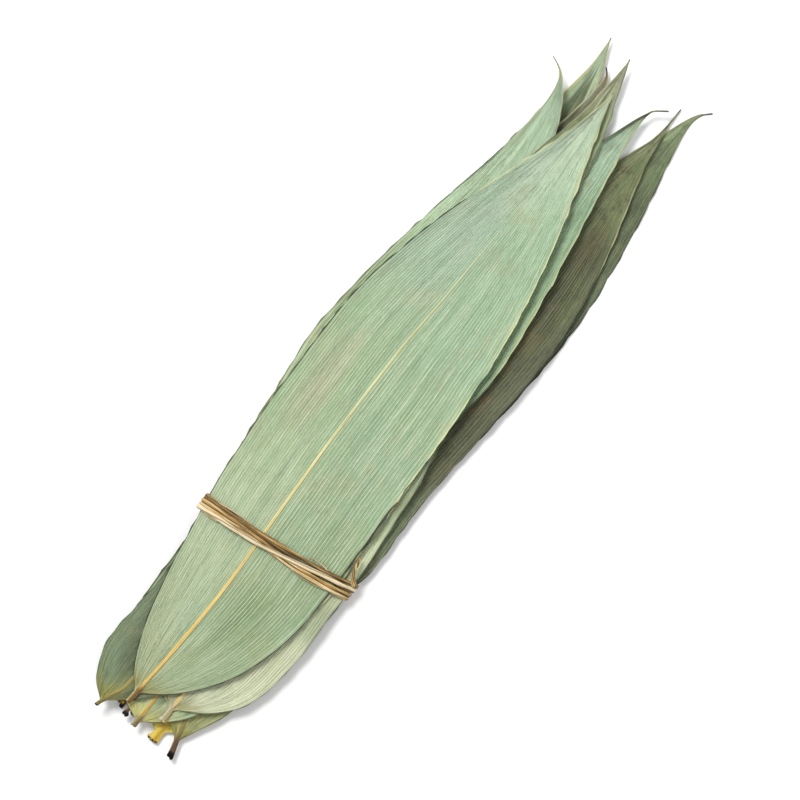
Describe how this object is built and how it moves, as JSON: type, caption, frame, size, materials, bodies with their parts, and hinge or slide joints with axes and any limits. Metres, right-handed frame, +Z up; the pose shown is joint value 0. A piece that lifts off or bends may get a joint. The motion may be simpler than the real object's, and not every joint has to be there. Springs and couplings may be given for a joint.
{
  "type": "bundle of dried bamboo leaves",
  "caption": "Flat bundle of long dried bamboo leaves laid base to base, fanned at their pointed tips and tied round with a twisted rush strand.",
  "frame": {"origin": "on the surface that the bundle lies on, under the middle of its box", "axes": "+Y along the leaves from their bases to their tips, +X across the bundle, +Z up through the pile of leaves"},
  "size_m": [0.109, 0.46, 0.0184],
  "materials": {
    "leaf_sage": "dry leaf, satin",
    "leaf_yellow_green": "dry leaf, satin",
    "leaf_bright_green": "dry leaf, satin",
    "leaf_pale": "dry leaf underside, matte",
    "leaf_olive": "dry leaf, satin",
    "leaf_brown_olive": "dry leaf, satin",
    "leaf_dark_green": "dry leaf, satin",
    "straw": "dry plant fibre, matte"
  },
  "bodies": {
    "root": {"leaf_lowest_dark": "leaf_dark_green", "leaf_inner_left": "leaf_olive", "leaf_inner_right": "leaf_olive", "leaf_right_brown": "leaf_brown_olive", "leaf_left_olive": "leaf_olive", "leaf_crossing_green": "leaf_sage", "leaf_crossing_pale": "leaf_pale", "leaf_right_green": "leaf_bright_green", "leaf_left_yellow": "leaf_yellow_green", "leaf_top": "leaf_sage", "straw_tie": "straw"}
  },
  "joints": []
}
